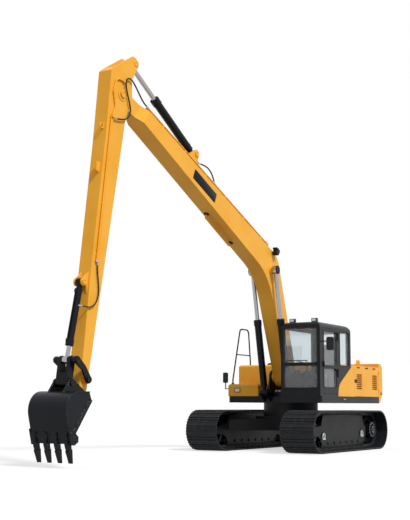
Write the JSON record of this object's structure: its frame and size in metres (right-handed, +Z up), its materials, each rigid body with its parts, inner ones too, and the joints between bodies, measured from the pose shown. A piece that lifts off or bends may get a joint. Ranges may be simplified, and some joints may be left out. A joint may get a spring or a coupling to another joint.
{
  "type": "crawler excavator",
  "caption": "Tracked excavator with a long cranked boom, slim arm and toothed bucket on a swinging upper structure with cab, counterweight, doors, hood and hydraulic cylinders.",
  "frame": {"origin": "on the ground under the tracks, on the axis that the upper structure swings about", "axes": "+X forward, towards the bucket; +Y to the machine's left; +Z up along the swing axis"},
  "size_m": [11.6463, 3.285, 7.5082],
  "materials": {
    "yellow_paint": "glossy",
    "dark_paint": "satin",
    "grey_steel": "satin",
    "track_steel": "worn",
    "chrome_rod": "polished",
    "cab_glass": "clear",
    "black_plastic": "matte",
    "lamp": "glossy",
    "seat_cloth": "woven",
    "hose_rubber": "matte"
  },
  "bodies": {
    "undercarriage": {"car_body": "dark_paint", "track_frame_left": "dark_paint", "track_frame_right": "dark_paint", "track_left": "track_steel", "track_right": "track_steel", "idlers": "grey_steel", "sprockets": "grey_steel", "track_rollers": "grey_steel", "carrier_rollers": "grey_steel", "bearing_lower": "grey_steel"},
    "house": {"bearing_upper": "grey_steel", "deck_frame": "dark_paint", "counterweight": "yellow_paint", "engine_block": "grey_steel", "machine_housing": "yellow_paint", "left_panel": "yellow_paint", "fuel_tank": "yellow_paint", "toolbox": "yellow_paint", "handrail": "dark_paint", "mirrors": "black_plastic", "exhaust": "grey_steel", "cab_floor": "dark_paint", "cab_frame": "dark_paint", "cab_roof": "dark_paint", "cab_glass": "cab_glass", "seat": "seat_cloth", "consoles": "black_plastic", "cab_lamps": "lamp", "upper_pins": "grey_steel"},
    "door": {"cab_door": "dark_paint", "door_glass": "cab_glass"},
    "hood": {"hood": "yellow_paint"},
    "left_side_door": {"left_service_door": "yellow_paint"},
    "right_side_door": {"right_service_door": "yellow_paint"},
    "boom": {"boom": "yellow_paint", "boom_pipes": "yellow_paint", "boom_lamp": "lamp", "boom_pins": "grey_steel", "arm_hose": "hose_rubber"},
    "boom_barrels": {"boom_cylinder_barrels": "grey_steel"},
    "boom_rods": {"boom_cylinder_rods": "chrome_rod"},
    "arm": {"arm": "yellow_paint", "arm_pipes": "yellow_paint", "arm_pins": "grey_steel"},
    "arm_barrel": {"arm_cylinder_barrel": "grey_steel"},
    "arm_rod": {"arm_cylinder_rod": "chrome_rod"},
    "bucket_barrel": {"bucket_cylinder_barrel": "grey_steel"},
    "bucket_rod": {"bucket_cylinder_rod": "chrome_rod"},
    "levers": {"link_levers": "grey_steel"},
    "link": {"h_link": "grey_steel"},
    "bucket": {"bucket": "grey_steel", "bucket_teeth": "grey_steel"}
  },
  "joints": [
    {"name": "swing", "type": "hinge", "parent": "undercarriage", "child": "house", "pos_m": [0, 0, 1], "axis": [0, 0, 1], "continuous": true},
    {"name": "boom_lift", "type": "hinge", "parent": "house", "child": "boom", "pos_m": [0.3, 0, 1.7], "axis": [0, -1, 0], "range_deg": [-85, 10]},
    {"name": "arm_swing", "type": "hinge", "parent": "boom", "child": "arm", "pos_m": [7.17725, 0, 6.6783], "axis": [0, -1, 0], "range_deg": [-40, 55], "deforming": ["arm_hose"]},
    {"name": "bucket_curl", "type": "hinge", "parent": "arm", "child": "bucket", "pos_m": [8.15142, 0, 1.15353], "axis": [0, -1, 0], "range_deg": [-130, 25]},
    {"name": "door_hinge", "type": "hinge", "parent": "house", "child": "door", "pos_m": [0.377, 1.401, 2], "axis": [0, 0, 1], "range_deg": [0, 170]},
    {"name": "hood_hinge", "type": "hinge", "parent": "house", "child": "hood", "pos_m": [-2.076, 0, 2.005], "axis": [0, -1, 0], "range_deg": [0, 75]},
    {"name": "left_door_hinge", "type": "hinge", "parent": "house", "child": "left_side_door", "pos_m": [-2.118, 1.398, 1.6], "axis": [0, 0, 1], "range_deg": [0, 100]},
    {"name": "right_door_hinge", "type": "hinge", "parent": "house", "child": "right_side_door", "pos_m": [-2.118, -1.398, 1.6], "axis": [0, 0, -1], "range_deg": [0, 100]},
    {"name": "boom_barrel_tilt", "type": "hinge", "parent": "house", "child": "boom_barrels", "pos_m": [0.76, 0, 1.32], "axis": [0, -1, 0], "range_deg": [-92, 12]},
    {"name": "boom_rod_slide", "type": "slide", "parent": "boom_barrels", "child": "boom_rods", "axis": [0.2044, 0, 0.9789], "range_m": [-0.8, 0.1]},
    {"name": "arm_barrel_tilt", "type": "hinge", "parent": "boom", "child": "arm_barrel", "pos_m": [4.49952, 0, 6.14975], "axis": [0, -1, 0], "range_deg": [-5, 5]},
    {"name": "arm_rod_slide", "type": "slide", "parent": "arm_barrel", "child": "arm_rod", "axis": [0.8745, 0, 0.4851], "range_m": [-0.72, 0.53]},
    {"name": "bucket_barrel_tilt", "type": "hinge", "parent": "arm", "child": "bucket_barrel", "pos_m": [8.11172, 0, 3.1063], "axis": [0, -1, 0], "range_deg": [-5, 3]},
    {"name": "bucket_rod_slide", "type": "slide", "parent": "bucket_barrel", "child": "bucket_rod", "axis": [0.2239, 0, -0.9746], "range_m": [-0.16, 0.77]},
    {"name": "lever_tilt", "type": "hinge", "parent": "arm", "child": "levers", "pos_m": [8.10106, 0, 1.43912], "axis": [0, -1, 0], "range_deg": [-112, 24]},
    {"name": "link_tilt", "type": "hinge", "parent": "levers", "child": "link", "pos_m": [8.42099, 0, 1.75983], "axis": [0, -1, 0], "range_deg": [-20, 70]}
  ],
  "couplings": [
    {"joint": "boom_barrel_tilt", "follows": "boom_lift", "ratio": 1.05},
    {"joint": "boom_rod_slide", "follows": "boom_lift", "m_per_rad": 0.525},
    {"joint": "arm_barrel_tilt", "follows": "arm_swing", "ratio": -0.05},
    {"joint": "arm_rod_slide", "follows": "arm_swing", "m_per_rad": -0.718},
    {"joint": "bucket_barrel_tilt", "follows": "bucket_curl", "ratio": 0.02},
    {"joint": "bucket_rod_slide", "follows": "bucket_curl", "m_per_rad": -0.33},
    {"joint": "lever_tilt", "follows": "bucket_curl", "ratio": 0.83},
    {"joint": "link_tilt", "follows": "bucket_curl", "ratio": -0.51}
  ]
}
